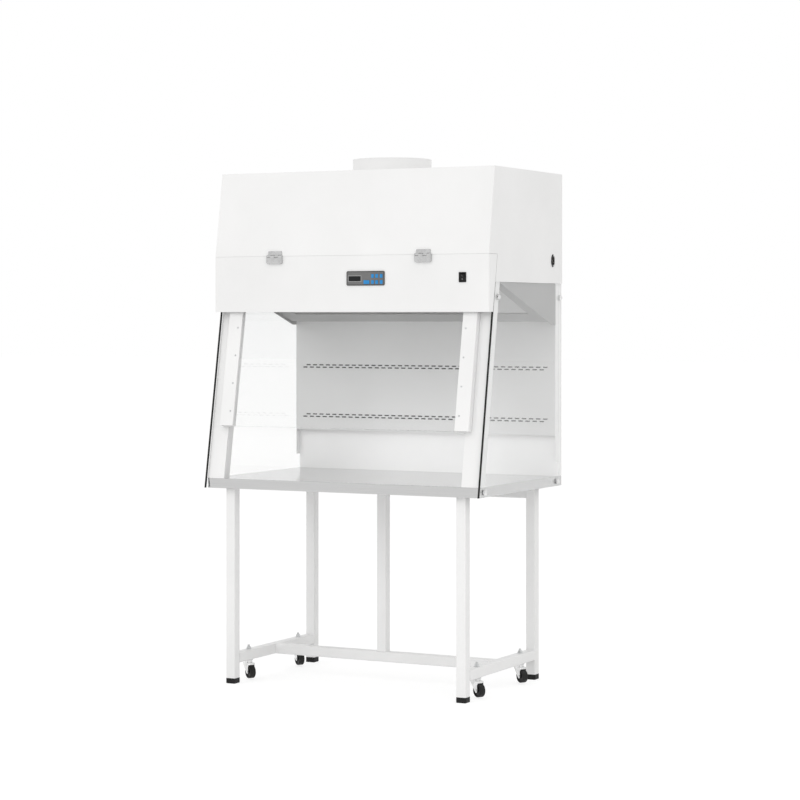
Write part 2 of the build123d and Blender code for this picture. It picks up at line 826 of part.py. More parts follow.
flap_top = cover_bottom - flap_gap
window_width = rocker_width + 2 * rocker_clearance
window_height = rocker_height + 2 * rocker_swing_gap
switch_body_width = window_width + 2 * rocker_body_side
switch_body_height = window_height + 2 * rocker_body_side
with BuildPart() as front_flap:
    with BuildSketch(side_plane(0)):
        Polygon(
            (cover_front, flap_bottom),
            (edge_y(flap_bottom) - flap_clearance, flap_bottom),
            (edge_y(flap_top) - flap_clearance, flap_top),
            (cover_front, flap_top),
            align=None,
        )
    extrude(amount=hood_half, both=True)
    fillet(front_flap.faces().sort_by(Axis.Y)[0].edges().filter_by(Axis.Z), bend_radius)
    offset(amount=-sheet, openings=front_flap.faces().sort_by(Axis.Y)[-1])
    with BuildSketch(Plane.XY.offset(flap_bottom)):
        with Locations((0, cover_front + flap_lip + worktop_depth / 2)):
            Rectangle(2 * hood_inner, worktop_depth)
    extrude(amount=flap_top - flap_bottom, mode=Mode.SUBTRACT)
    with BuildSketch(front_plane(cover_front + sheet)):
        with Locations((panel_x, panel_z)):
            Rectangle(housing_width + 2 * cutout_clearance, housing_height + 2 * cutout_clearance)
        with Locations((switch_x, switch_z)):
            Rectangle(switch_body_width + 2 * cutout_clearance, switch_body_height + 2 * cutout_clearance)
    extrude(amount=sheet, mode=Mode.SUBTRACT)
front_flap.part.label = "front_flap"
export_step(front_flap.part, "parts/front_flap.step")

# ------------------------------------------------------------------ hinges
hinge_y = cover_front - hinge_stand_off
hinge_z = cover_bottom - hinge_drop
barrel_length = 4 * knuckle_length + 3 * knuckle_gap
knuckle_step = knuckle_length + knuckle_gap
knuckle_centres = [knuckle_step * (index - 1.5) for index in range(4)]
leaf_clear = barrel_radius + barrel_clearance
cover_lean = atan2(roof_front - cover_front, roof_underside - cover_bottom)
cover_plane = Plane(
    origin=(0, cover_front, cover_bottom),
    x_dir=(1, 0, 0),
    z_dir=(0, -cos(cover_lean), sin(cover_lean)),
)

with BuildPart() as hinge_upper_leaves:
    with BuildSketch(cover_plane):
        with Locations((-hinge_x, leaf_clear), (hinge_x, leaf_clear)):
            Rectangle(upper_leaf_width, upper_leaf_height - leaf_clear, align=(Align.CENTER, Align.MIN))
    extrude(amount=leaf_thickness)
    for hinge in (-hinge_x, hinge_x):
        for centre in knuckle_centres[0::2]:
            with BuildSketch(side_plane(hinge + centre)):
                with Locations((hinge_y, hinge_z)):
                    Circle(barrel_radius)
                Polygon(
                    (hinge_y, hinge_z),
                    (hinge_y + barrel_radius, hinge_z),
                    (cover_front + leaf_clear * tan(cover_lean), cover_bottom + leaf_clear + knuckle_root),
                    (cover_front - leaf_thickness + knuckle_root, cover_bottom + leaf_clear + knuckle_root),
                    align=None,
                )
                with Locations((hinge_y, hinge_z)):
                    Circle(hinge_pin_radius + running_clearance, mode=Mode.SUBTRACT)
            extrude(amount=knuckle_length / 2, both=True)
hinge_upper_leaves.part.label = "hinge_upper_leaves"
export_step(hinge_upper_leaves.part, "parts/hinge_upper_leaves.step")

lower_leaf_top = hinge_z - leaf_clear
with BuildPart() as hinge_lower_leaves:
    with BuildSketch(front_plane(cover_front)):
        with Locations((-hinge_x, lower_leaf_top), (hinge_x, lower_leaf_top)):
            Rectangle(barrel_length, lower_leaf_height, align=(Align.CENTER, Align.MAX))
    extrude(amount=lower_leaf_thickness)
    fillet(
        hinge_lower_leaves.edges().filter_by(Axis.Y).group_by(Axis.Z)[0],
        lower_leaf_round,
    )
    for hinge in (-hinge_x, hinge_x):
        for centre in knuckle_centres[1::2]:
            with BuildSketch(side_plane(hinge + centre)):
                with Locations((hinge_y, hinge_z)):
                    Circle(barrel_radius)
                Polygon(
                    (hinge_y - barrel_radius + knuckle_web_inset, hinge_z),
                    (hinge_y + barrel_radius, hinge_z),
                    (hinge_y + barrel_radius, lower_leaf_top - knuckle_root),
                    (hinge_y - barrel_radius + knuckle_web_inset, lower_leaf_top - knuckle_root),
                    align=None,
                )
                with Locations((hinge_y, hinge_z)):
                    Circle(hinge_pin_radius + running_clearance, mode=Mode.SUBTRACT)
            extrude(amount=knuckle_length / 2, both=True)
hinge_lower_leaves.part.label = "hinge_lower_leaves"
export_step(hinge_lower_leaves.part, "parts/hinge_lower_leaves.step")

with BuildPart() as hinge_pins:
    for hinge in (-hinge_x, hinge_x):
        with BuildSketch(side_plane(hinge)):
            with Locations((hinge_y, hinge_z)):
                Circle(hinge_pin_radius)
        extrude(amount=barrel_length / 2, both=True)
hinge_pins.part.label = "hinge_pins"
export_step(hinge_pins.part, "parts/hinge_pins.step")

# -------------------------------------------------------------------- sash
sash_half_width = core_half - post_width
stile_inner_x = sash_half_width - stile_overlap
screw_x = stile_inner_x + screw_inset
pane_back = sash_glass_front - sash_glass
screw_tip = sash_glass_front + screw_tip_gap
sash_middle = sash_bottom + sash_length / 2
stile_middle = stile_inner_x + stile_width / 2
screw_ys = [sash_bottom + screw_first + screw_pitch * n for n in range(screws_per_stile)]
screw_places = [(x, y) for x in (-screw_x, screw_x) for y in screw_ys]
with BuildPart() as sash_pane:
    with BuildSketch(slant_plane.offset(pane_back)):
        with Locations((0, sash_middle)):
            Rectangle(2 * sash_half_width, sash_length)
    extrude(amount=sash_glass)
sash_pane.part.label = "sash_pane"
export_step(sash_pane.part, "parts/sash_pane.step")

stile_plane = Plane(origin=slant_plane.from_local_coords((0, sash_bottom, 0)), x_dir=(1, 0, 0), z_dir=up_slope)
groove_depth = sash_half_width - stile_inner_x + pane_clearance
chamber_inner = stile_inner_x + groove_depth + stile_wall
chamber_outer = stile_inner_x + stile_width - stile_wall
with BuildPart() as sash_stiles:
    with BuildSketch(stile_plane):
        for sign in (-1, 1):
            with Locations((sign * stile_middle, -(stile_front + stile_back) / 2)):
                RectangleRounded(stile_width, stile_front - stile_back, stile_round)
            with Locations((sign * (chamber_inner + chamber_outer) / 2, -(stile_front + stile_back) / 2)):
                Rectangle(
                    chamber_outer - chamber_inner,
                    stile_front - stile_back - 2 * stile_wall,
                    mode=Mode.SUBTRACT,
                )
            with Locations((sign * (stile_inner_x + groove_depth / 2), -(pane_back + sash_glass_front) / 2)):
                Rectangle(groove_depth, sash_glass + 2 * pane_clearance, mode=Mode.SUBTRACT)
    extrude(amount=sash_length)
    with BuildSketch(slant_plane.offset(screw_tip)):
        with Locations(*screw_places):
            Circle(screw_shank_radius + running_clearance)
    extrude(amount=stile_front, mode=Mode.SUBTRACT)
sash_stiles.part.label = "sash_stiles"
export_step(sash_stiles.part, "parts/sash_stiles.step")

with BuildPart() as sash_screws:
    with BuildSketch(slant_plane.offset(stile_front)):
        with Locations(*screw_places):
            Circle(screw_head_radius)
    extrude(amount=screw_head_height, taper=screw_head_taper)
    with BuildSketch(slant_plane.offset(screw_tip)):
        with Locations(*screw_places):
            Circle(screw_shank_radius)
    extrude(amount=stile_front - screw_tip)
sash_screws.part.label = "sash_screws"
export_step(sash_screws.part, "parts/sash_screws.step")

track_plane = Plane(origin=slant_plane.from_local_coords((0, track_start, 0)), x_dir=(1, 0, 0), z_dir=up_slope)
track_web = stile_inner_x + stile_width + track_clearance
track_front = stile_front + track_clearance + sheet
with BuildPart() as sash_tracks:
    with BuildSketch(track_plane):
        for sign in (-1, 1):
            with Locations((sign * (track_web + track_base / 2), -sheet / 2)):
                Rectangle(track_base, sheet)
            with Locations((sign * (track_web + sheet / 2), -track_front / 2)):
                Rectangle(sheet, track_front)
            with Locations((sign * (track_web + sheet - track_lip / 2), -track_front + sheet / 2)):
                Rectangle(track_lip, sheet)
    extrude(amount=track_end - track_start)
sash_tracks.part.label = "sash_tracks"
export_step(sash_tracks.part, "parts/sash_tracks.step")

# ------------------------------------------- control panel, keys and switch
panel_front = cover_front - panel_thickness
key_places = [(x, key_upper_z, key_width) for x in key_columns]
key_places.append((wide_key_x, key_lower_z, wide_key_width))
key_places.extend((x, key_lower_z, key_width) for x in key_columns)

with BuildPart() as control_panel:
    with BuildSketch(front_plane(cover_front)):
        with Locations((panel_x, panel_z)):
            RectangleRounded(panel_width, panel_height, panel_round)
    extrude(amount=panel_thickness)
    fillet(control_panel.faces().sort_by(Axis.Y)[0].edges(), panel_edge_round)
    with BuildSketch(front_plane(cover_front + housing_depth)):
        with Locations((panel_x, panel_z)):
            Rectangle(housing_width, housing_height)
    extrude(amount=housing_depth)
    with BuildSketch(front_plane(cover_front + housing_depth - housing_wall)):
        with Locations((panel_x, panel_z)):
            Rectangle(housing_width - 2 * housing_wall, housing_height - 2 * housing_wall)
    extrude(amount=housing_depth - housing_wall, mode=Mode.SUBTRACT)
    with BuildSketch(front_plane(cover_front)):
        for x, z, width in key_places:
            with Locations((x, z)):
                Rectangle(width + 2 * key_clearance, key_height + 2 * key_clearance)
    extrude(amount=panel_thickness, mode=Mode.SUBTRACT)
    with BuildSketch(front_plane(panel_front + display_thickness)):
        with Locations((display_x, display_z)):
            Rectangle(display_width, display_height)
    extrude(amount=display_thickness, mode=Mode.SUBTRACT)
control_panel.part.label = "control_panel"
export_step(control_panel.part, "parts/control_panel.step")

with BuildPart() as display_window:
    with BuildSketch(front_plane(panel_front + display_thickness)):
        with Locations((display_x, display_z)):
            Rectangle(display_width - 2 * pane_clearance, display_height - 2 * pane_clearance)
    extrude(amount=display_thickness - display_recess)
display_window.part.label = "display_window"
export_step(display_window.part, "parts/display_window.step")

key_back = cover_front + key_clearance
for number, (x, z, width) in enumerate(key_places, start=1):
    with BuildPart() as key:
        with BuildSketch(front_plane(key_back)):
            with Locations((x, z)):
                RectangleRounded(width, key_height, key_round)
        extrude(amount=key_back - panel_front + key_stand_out)
        fillet(key.faces().sort_by(Axis.Y)[0].edges(), key_edge_round)
        with BuildSketch(front_plane(key_back + key_flange_thickness)):
            with Locations((x, z)):
                Rectangle(width + 2 * key_flange, key_height + 2 * key_flange)
        extrude(amount=key_flange_thickness)
    key.part.label = f"key_{number}"
    export_step(key.part, f"parts/key_{number}.step")

pivot_half = window_width / 2 + rocker_pivot_reach
with BuildPart() as switch_bezel:
    with BuildSketch(front_plane(cover_front)):
        with Locations((switch_x, switch_z)):
            RectangleRounded(bezel_width, bezel_height, bezel_round)
    extrude(amount=bezel_thickness)
    with BuildSketch(front_plane(cover_front + switch_body_depth)):
        with Locations((switch_x, switch_z)):
            Rectangle(switch_body_width, switch_body_height)
    extrude(amount=switch_body_depth)
    with BuildSketch(front_plane(cover_front + switch_body_depth - rocker_body_side)):
        with Locations((switch_x, switch_z)):
            Rectangle(window_width, window_height)
    extrude(amount=switch_body_depth - rocker_body_side + bezel_thickness, mode=Mode.SUBTRACT)
    with BuildSketch(side_plane(switch_x)):
        with Locations((cover_front + rocker_pivot_depth, switch_z)):
            Circle(rocker_pivot_radius + running_clearance)
    extrude(amount=pivot_half + rocker_pivot_end_gap, both=True, mode=Mode.SUBTRACT)
switch_bezel.part.label = "switch_bezel"
export_step(switch_bezel.part, "parts/switch_bezel.step")

rocker_rise = tan(radians(rocker_tilt)) * rocker_height / 2
rocker_origin = (switch_x, cover_front + rocker_pivot_depth, switch_z)
with BuildPart() as switch_rocker:
    with BuildSketch(
        Plane(
            origin=rocker_origin,
            x_dir=(0, cos(radians(rocker_tilt)), sin(radians(rocker_tilt))),
            z_dir=(1, 0, 0),
        )
    ):
        Polygon(
            (-rocker_centre_height - rocker_rise, rocker_height / 2),
            (-rocker_centre_height, 0),
            (-rocker_centre_height - rocker_rise, -rocker_height / 2),
            (rocker_waist, -rocker_height / 2 + rocker_waist),
            (rocker_root_depth, -rocker_root_half),
            (rocker_root_depth, rocker_root_half),
            (rocker_waist, rocker_height / 2 - rocker_waist),
            align=None,
        )
    extrude(amount=rocker_width / 2, both=True)
    with BuildSketch(side_plane(switch_x)):
        with Locations((rocker_origin[1], rocker_origin[2])):
            Circle(rocker_pivot_radius)
    extrude(amount=pivot_half, both=True)
switch_rocker.part.label = "switch_rocker"
export_step(switch_rocker.part, "parts/switch_rocker.step")

# ------------------------------------------------------------- power inlet
inlet_base = hood_half - inlet_body_depth + inlet_flange_thickness
with BuildPart() as power_inlet:
    with BuildSketch(side_plane(hood_half)):
        with Locations(*inlet_places):
            Rectangle(inlet_flange_width, inlet_flange_height)
            with Locations((0, -inlet_ear_pitch / 2), (0, inlet_ear_pitch / 2)):
                Circle(inlet_ear_radius)
        make_hull()
    extrude(amount=inlet_flange_thickness)
    with BuildSketch(side_plane(inlet_base)):
        with Locations(*inlet_places):
            Rectangle(inlet_body_width, inlet_body_height)
    extrude(amount=hood_half - inlet_base)
    with BuildSketch(side_plane(hood_half + inlet_flange_thickness - inlet_socket_depth)):
        with Locations(*inlet_places):
            Rectangle(inlet_socket_width, inlet_socket_height)
            with Locations((0, -inlet_pin_pitch), (-inlet_pin_pitch / 2, 0), (0, inlet_pin_pitch)):
                Rectangle(inlet_pin_width, inlet_pin_height, mode=Mode.SUBTRACT)
    extrude(amount=inlet_socket_depth, mode=Mode.SUBTRACT)
power_inlet.part.label = "power_inlet"
export_step(power_inlet.part, "parts/power_inlet.step")

# ----------------------------------------------- exhaust, blower and filter
with BuildPart() as exhaust_collar:
    with BuildSketch(Plane.XY.offset(cabinet_top)):
        with Locations(exhaust_centre):
            Circle(collar_flange_radius)
            Circle(collar_radius - sheet, mode=Mode.SUBTRACT)
    extrude(amount=sheet)
    with BuildSketch(Plane.XY.offset(cabinet_top)):
        with Locations(exhaust_centre):
            Circle(collar_radius)
            Circle(collar_radius - sheet, mode=Mode.SUBTRACT)
    extrude(amount=collar_height)
exhaust_collar.part.label = "exhaust_collar"
export_step(exhaust_collar.part, "parts/exhaust_collar.step")

with BuildPart() as exhaust_filter:
    with BuildSketch(Plane.XY.offset(roof_underside - exhaust_filter_height)):
        with Locations(exhaust_centre):
            Rectangle(exhaust_filter_width, exhaust_filter_width)
    extrude(amount=exhaust_filter_height)
    for level in (roof_underside - exhaust_filter_height, roof_underside - filter_recess):
        with BuildSketch(Plane.XY.offset(level)):
            with Locations(exhaust_centre):
                Rectangle(exhaust_filter_width - 2 * filter_frame, exhaust_filter_width - 2 * filter_frame)
        extrude(amount=filter_recess, mode=Mode.SUBTRACT)
exhaust_filter.part.label = "exhaust_filter"
export_step(exhaust_filter.part, "parts/exhaust_filter.step")

shelf_width = worktop_width - 2 * shelf_side_gap
shelf_front = post_y(shelf_height + shelf_thickness) + post_depth + 2 * sheet
with BuildPart() as blower_shelf:
    with BuildSketch(Plane.XY.offset(shelf_height)):
        with Locations((0, (shelf_front + back_y) / 2)):
            Rectangle(shelf_width, back_y - shelf_front)
    extrude(amount=shelf_thickness)
blower_shelf.part.label = "blower_shelf"
export_step(blower_shelf.part, "parts/blower_shelf.step")

shelf_top = shelf_height + shelf_thickness
motor_top = shelf_top + motor_height
with BuildPart() as blower_motor:
    with BuildSketch(Plane.XY.offset(shelf_top)):
        with Locations(exhaust_centre):
            Circle(motor_radius)
    extrude(amount=motor_height)
    with BuildSketch(Plane.XY.offset(motor_top)):
        with Locations(exhaust_centre):
            Circle(motor_shaft_radius)
    extrude(amount=motor_shaft_height)
blower_motor.part.label = "blower_motor"
export_step(blower_motor.part, "parts/blower_motor.step")

impeller_base = motor_top + impeller_gap
impeller_plane = Plane(origin=(*exhaust_centre, impeller_base))
with BuildPart() as blower_impeller:
    with BuildSketch(impeller_plane):
        Circle(impeller_radius)
    extrude(amount=sheet)
    with BuildSketch(impeller_plane):
        Circle(impeller_hub_radius)
    extrude(amount=motor_shaft_height - impeller_gap)
    with BuildSketch(impeller_plane):
        with PolarLocations((blade_inner_radius + impeller_radius) / 2, blade_count):
            Rectangle(impeller_radius - blade_inner_radius, blade_thickness, rotation=blade_sweep)
    extrude(amount=impeller_height - sheet)
    with BuildSketch(impeller_plane.offset(impeller_height - sheet)):
        Circle(impeller_radius)
        Circle(impeller_eye_radius, mode=Mode.SUBTRACT)
    extrude(amount=sheet)
    with BuildSketch(impeller_plane):
        Circle(motor_shaft_radius + running_clearance)
    extrude(amount=motor_shaft_height, mode=Mode.SUBTRACT)
blower_impeller.part.label = "blower_impeller"
export_step(blower_impeller.part, "parts/blower_impeller.step")

with BuildPart() as blower_housing:
    with BuildSketch(Plane.XY.offset(shelf_top)):
        with Locations(exhaust_centre):
            Rectangle(blower_housing_width, blower_housing_width)
    extrude(amount=blower_housing_height)
    offset(amount=-sheet, openings=blower_housing.faces().sort_by(Axis.Z)[0])
    with BuildSketch(Plane.XY.offset(shelf_top + blower_housing_height - sheet)):
        with Locations(exhaust_centre):
            Circle(blower_inlet_radius)
    extrude(amount=sheet, mode=Mode.SUBTRACT)
blower_housing.part.label = "blower_housing"
export_step(blower_housing.part, "parts/blower_housing.step")
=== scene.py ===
"""Dresses the biosafety cabinet: materials, small fasteners, lights, floor and camera."""

from math import cos, pi, radians, sin

import bmesh
import bpy
from mathutils import Matrix, Vector


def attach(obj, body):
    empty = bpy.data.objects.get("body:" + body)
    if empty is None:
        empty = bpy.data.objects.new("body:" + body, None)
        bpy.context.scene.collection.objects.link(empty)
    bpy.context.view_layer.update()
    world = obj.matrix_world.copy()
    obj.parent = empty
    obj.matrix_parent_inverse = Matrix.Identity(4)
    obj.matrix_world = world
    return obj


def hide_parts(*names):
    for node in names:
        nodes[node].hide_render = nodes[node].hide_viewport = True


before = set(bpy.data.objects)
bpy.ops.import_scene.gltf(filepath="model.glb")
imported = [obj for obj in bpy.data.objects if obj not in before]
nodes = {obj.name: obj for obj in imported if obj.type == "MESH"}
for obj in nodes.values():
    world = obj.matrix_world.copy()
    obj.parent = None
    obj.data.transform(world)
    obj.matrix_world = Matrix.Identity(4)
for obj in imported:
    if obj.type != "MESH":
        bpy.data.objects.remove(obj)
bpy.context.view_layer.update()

# ------------------------------------------------------------ camera, metres
CAMERA_PLACE = (4.3073, -8.1671, 1.4519)
CAMERA_TURN = radians(27.42)
CAMERA_LENS = 104.3
CAMERA_SHIFT = -0.1048


def make_camera():
    """A level camera with its view shifted down, as tall product shots are taken."""
    data = bpy.data.cameras.new("camera")
    data.lens = CAMERA_LENS
    data.sensor_width = 36
    data.shift_y = CAMERA_SHIFT
    camera = bpy.data.objects.new("camera", data)
    camera.location = CAMERA_PLACE
    camera.rotation_euler = (radians(90), 0, CAMERA_TURN)
    bpy.context.scene.collection.objects.link(camera)
    bpy.context.scene.camera = camera


# ----------------------------------------------------------- node helpers
def new_material(name):
    """A material and its principled shader."""
    material = bpy.data.materials.new(name)
    material.use_nodes = True
    return material, material.node_tree, material.node_tree.nodes["Principled BSDF"]


def grain(tree, scale, stretch=(1, 1, 1), detail=3.0):
    """A noise over the object's own metres, stretched along the axes."""
    place = tree.nodes.new("ShaderNodeTexCoord")
    mapping = tree.nodes.new("ShaderNodeMapping")
    mapping.inputs["Scale"].default_value = stretch
    noise = tree.nodes.new("ShaderNodeTexNoise")
    noise.inputs["Scale"].default_value = scale
    noise.inputs["Detail"].default_value = detail
    tree.links.new(place.outputs["Object"], mapping.inputs["Vector"])
    tree.links.new(mapping.outputs["Vector"], noise.inputs["Vector"])
    return noise.outputs["Fac"]


def spread(tree, factor, low, high, start=0.3, end=0.7):
    """A number that runs from low to high as the factor runs from start to end."""
    node = tree.nodes.new("ShaderNodeMapRange")
    node.inputs["From Min"].default_value = start
    node.inputs["From Max"].default_value = end
    node.inputs["To Min"].default_value = low
    node.inputs["To Max"].default_value = high
    tree.links.new(factor, node.inputs["Value"])
    return node.outputs["Result"]


def tint(tree, factor, low, high, start=0.35, end=0.65):
    """A colour that runs from low to high as the factor runs from start to end."""
    ramp = tree.nodes.new("ShaderNodeValToRGB")
    ramp.color_ramp.elements[0].position = start
    ramp.color_ramp.elements[0].color = (*low, 1)
    ramp.color_ramp.elements[1].position = end
    ramp.color_ramp.elements[1].color = (*high, 1)
    tree.links.new(factor, ramp.inputs["Fac"])
    return ramp.outputs["Color"]


def math(tree, operation, first, second):
    """One operation on two values, the second a socket or a plain float."""
    node = tree.nodes.new("ShaderNodeMath")
    node.operation = operation
    tree.links.new(first, node.inputs[0])
    if isinstance(second, float):
        node.inputs[1].default_value = second
    else:
        tree.links.new(second, node.inputs[1])
    return node.outputs["Value"]


def send_mix(tree, factor, first, second, output):
    """Joins two shaders at the output: the first at a factor of nought, the second at one."""
    mix = tree.nodes.new("ShaderNodeMixShader")
    tree.links.new(factor, mix.inputs["Fac"])
    tree.links.new(first, mix.inputs[1])
    tree.links.new(second, mix.inputs[2])
    tree.links.new(mix.outputs["Shader"], tree.nodes[output].inputs["Surface"])


def texture_place(tree, node):
    """Lays a texture out over the object's own metres."""
    place = tree.nodes.new("ShaderNodeTexCoord")
    tree.links.new(place.outputs["Object"], node.inputs["Vector"])


def bump(tree, shader, height, strength, distance):
    """Raises the surface by a height map, with the distance in metres."""
    node = tree.nodes.new("ShaderNodeBump")
    node.inputs["Strength"].default_value = strength
    node.inputs["Distance"].default_value = distance
    tree.links.new(height, node.inputs["Height"])
    tree.links.new(node.outputs["Normal"], shader.inputs["Normal"])


def grey(value):
    """A neutral colour."""
    return (value, value, value)


# --------------------------------------------------------------- materials
def powder_coat(name, low, high, rough=(0.36, 0.46)):
    """Baked white powder: faint orange peel, with a slightly uneven gloss."""
    material, tree, shader = new_material(name)
    cloud = grain(tree, scale=3.0)
    tree.links.new(tint(tree, cloud, low, high), shader.inputs["Base Color"])
    tree.links.new(spread(tree, grain(tree, scale=40), *rough), shader.inputs["Roughness"])
    bump(tree, shader, grain(tree, scale=700, detail=1.0), strength=0.12, distance=0.0002)
    return material


def between(tree, value, low, high):
    """One where the value lies between low and high, and nought elsewhere."""
    above = math(tree, "GREATER_THAN", value, low)
    below = math(tree, "LESS_THAN", value, high)
    return math(tree, "MULTIPLY", above, below)


def place_axes(tree):
    """The X, Y and Z of the shaded point, in the object's own metres."""
    split = tree.nodes.new("ShaderNodeSeparateXYZ")
    texture_place(tree, split)
    return split.outputs


PLENUM_HEIGHTS = (0.985, 1.64)       # metres, the part of the back behind the baffle
PLENUM_DEPTHS = (0.3, 0.3605)        # metres, the back's inner face
# near black: painted shade for the dim plenum seen through the baffle's slots
PLENUM_PAINTED_SHADE = (0.03, 0.03, 0.03, 1)


def plenum_paint(name):
    """White powder, with a near-black painted shade on the face that only the baffle's slots show,
    so that the slots read dark.
    """
    material = powder_coat(name, grey(0.82), grey(0.85))
    tree = material.node_tree
    shader = tree.nodes["Principled BSDF"]
    axes = place_axes(tree)
    level = between(tree, axes["Z"], *PLENUM_HEIGHTS)
    inner = between(tree, axes["Y"], *PLENUM_DEPTHS)
    # the painted shade goes on the back's inner face behind the baffle
    mix = tree.nodes.new("ShaderNodeMix")
    mix.data_type = "RGBA"
    mix.inputs["B"].default_value = PLENUM_PAINTED_SHADE
    paint = shader.inputs["Base Color"].links[0].from_socket
    tree.links.new(math(tree, "MULTIPLY", level, inner), mix.inputs["Factor"])
    tree.links.new(paint, mix.inputs["A"])
    tree.links.new(mix.outputs["Result"], shader.inputs["Base Color"])
    return material


def brushed_steel(name, low, high, stretch, rough=(0.1, 0.18), depth=0.1):
    """Stainless sheet with its grain drawn out along one axis."""
    material, tree, shader = new_material(name)
    lines = grain(tree, scale=60, stretch=stretch, detail=5.0)
    tree.links.new(tint(tree, lines, low, high), shader.inputs["Base Color"])
    tree.links.new(spread(tree, lines, *rough), shader.inputs["Roughness"])
    shader.inputs["Metallic"].default_value = 1.0
    bump(tree, shader, lines, strength=depth, distance=0.0001)
    return material


def plated(name, low, high, rough):
    """Bright plated metal with faint smears."""
    material, tree, shader = new_material(name)
    smear = grain(tree, scale=45, detail=1.0)
    tree.links.new(tint(tree, smear, low, high), shader.inputs["Base Color"])
    tree.links.new(spread(tree, smear, *rough), shader.inputs["Roughness"])
    shader.inputs["Metallic"].default_value = 1.0
    return material


def galvanised(name):
    """Zinc-dipped sheet with its spangle."""
    material, tree, shader = new_material(name)
    cells = tree.nodes.new("ShaderNodeTexVoronoi")
    cells.inputs["Scale"].default_value = 90
    texture_place(tree, cells)
    shade = tree.nodes.new("ShaderNodeSeparateColor")
    tree.links.new(cells.outputs["Color"], shade.inputs["Color"])
    spangle = shade.outputs["Red"]
    colour = tint(tree, spangle, grey(0.52), grey(0.66), start=0, end=1)
    tree.links.new(colour, shader.inputs["Base Color"])
    rough = spread(tree, spangle, 0.35, 0.5, start=0, end=1)
    tree.links.new(rough, shader.inputs["Roughness"])
    shader.inputs["Metallic"].default_value = 1.0
    return material


def moulded(name, low, high, rough, sheen=0.5):
    """Moulded plastic or rubber with a fine spark-eroded texture."""
    material, tree, shader = new_material(name)
    fine = grain(tree, scale=900, detail=1.0)
    tree.links.new(tint(tree, grain(tree, scale=25), low, high), shader.inputs["Base Color"])
    tree.links.new(spread(tree, grain(tree, scale=60), *rough), shader.inputs["Roughness"])
    bump(tree, shader, fine, strength=0.2, distance=0.0001)
    shader.inputs["Specular IOR Level"].default_value = sheen
    return material


def pane_glass(name, face, shade):
    """Float glass: clear to the eye, faintly tinted, and open to the lamps."""
    material, tree, shader = new_material(name)
    smear = grain(tree, scale=8)
    tree.links.new(spread(tree, smear, 0.0, 0.02), shader.inputs["Roughness"])
    shader.inputs["Base Color"].default_value = (*face, 1)
    shader.inputs["Transmission Weight"].default_value = 1.0
    shader.inputs["IOR"].default_value = 1.45
    path = tree.nodes.new("ShaderNodeLightPath")
    clear = tree.nodes.new("ShaderNodeBsdfTransparent")
    clear.inputs["Color"].default_value = (*shade, 1)
    unseen = math(tree, "MAXIMUM", path.outputs["Is Shadow Ray"], path.outputs["Is Diffuse Ray"])
    send_mix(tree, unseen, shader.outputs["BSDF"], clear.outputs["BSDF"], "Material Output")
    return material


def pleated_media(name):
    """Filter paper folded into fine pleats, seen edge on, with painted shade in the pleats'
    troughs.
    """
    material, tree, shader = new_material(name)
    wave = tree.nodes.new("ShaderNodeTexWave")
    wave.inputs["Scale"].default_value = 60
    wave.inputs["Distortion"].default_value = 0.4
    texture_place(tree, wave)
    # the darker bands are painted shade in the troughs of the pleats
    colour = tint(tree, wave.outputs["Fac"], grey(0.45), grey(0.82), start=0, end=1)
    tree.links.new(colour, shader.inputs["Base Color"])
    tree.links.new(spread(tree, grain(tree, scale=60), 0.75, 0.9), shader.inputs["Roughness"])
    bump(tree, shader, wave.outputs["Fac"], strength=0.8, distance=0.003)
    return material


def cast_paint(name):
    """Thick grey paint over a rough casting."""
    material, tree, shader = new_material(name)
    colour = tint(tree, grain(tree, scale=30), (0.08, 0.09, 0.1), (0.12, 0.13, 0.14))
    tree.links.new(colour, shader.inputs["Base Color"])
    tree.links.new(spread(tree, grain(tree, scale=90), 0.45, 0.65), shader.inputs["Roughness"])
    bump(tree, shader, grain(tree, scale=250), strength=0.4, distance=0.0005)
    return material


def shows_backdrop(tree):
    """One for the eye's rays and those that metal or glass sends on, and nought for the rest."""
    path = tree.nodes.new("ShaderNodeLightPath")
    glossy, through = path.outputs["Is Glossy Ray"], path.outputs["Is Transmission Ray"]
    sent_on = math(tree, "MAXIMUM", glossy, through)
    return math(tree, "MAXIMUM", path.outputs["Is Camera Ray"], sent_on)


FLOOR_GLOW = 1.2
FLOOR_SHARE = 0.62          # of the glow in what the eye sees; the rest keeps the shadow


def floor_material():
    """Pale floor that keeps the object's shadow but otherwise meets the backdrop's white."""
    material, tree, shader = new_material("studio_floor")
    colour = tint(tree, grain(tree, scale=2), grey(0.84), grey(0.86))
    tree.links.new(colour, shader.inputs["Base Color"])
    shader.inputs["Roughness"].default_value = 0.9
    glow = tree.nodes.new("ShaderNodeEmission")
    glow.inputs["Strength"].default_value = FLOOR_GLOW
    share = math(tree, "MULTIPLY", shows_backdrop(tree), FLOOR_SHARE)
    send_mix(tree, share, shader.outputs["BSDF"], glow.outputs["Emission"], "Material Output")
    return material


WHITE = powder_coat("white_powder_coat", grey(0.82), grey(0.85))
ALLOY_WHITE = powder_coat("white_coated_alloy", grey(0.82), grey(0.86), (0.3, 0.4))
STEEL_TOP = brushed_steel("brushed_worktop", grey(0.53), grey(0.61), (0.04, 14, 14))
# the baffle is white powder; its darker grey is painted shade for the dim chamber
BAFFLE_PAINTED_SHADE = powder_coat("white_baffle_painted_shade", grey(0.61), grey(0.64))
BACK = plenum_paint("white_back_panel")
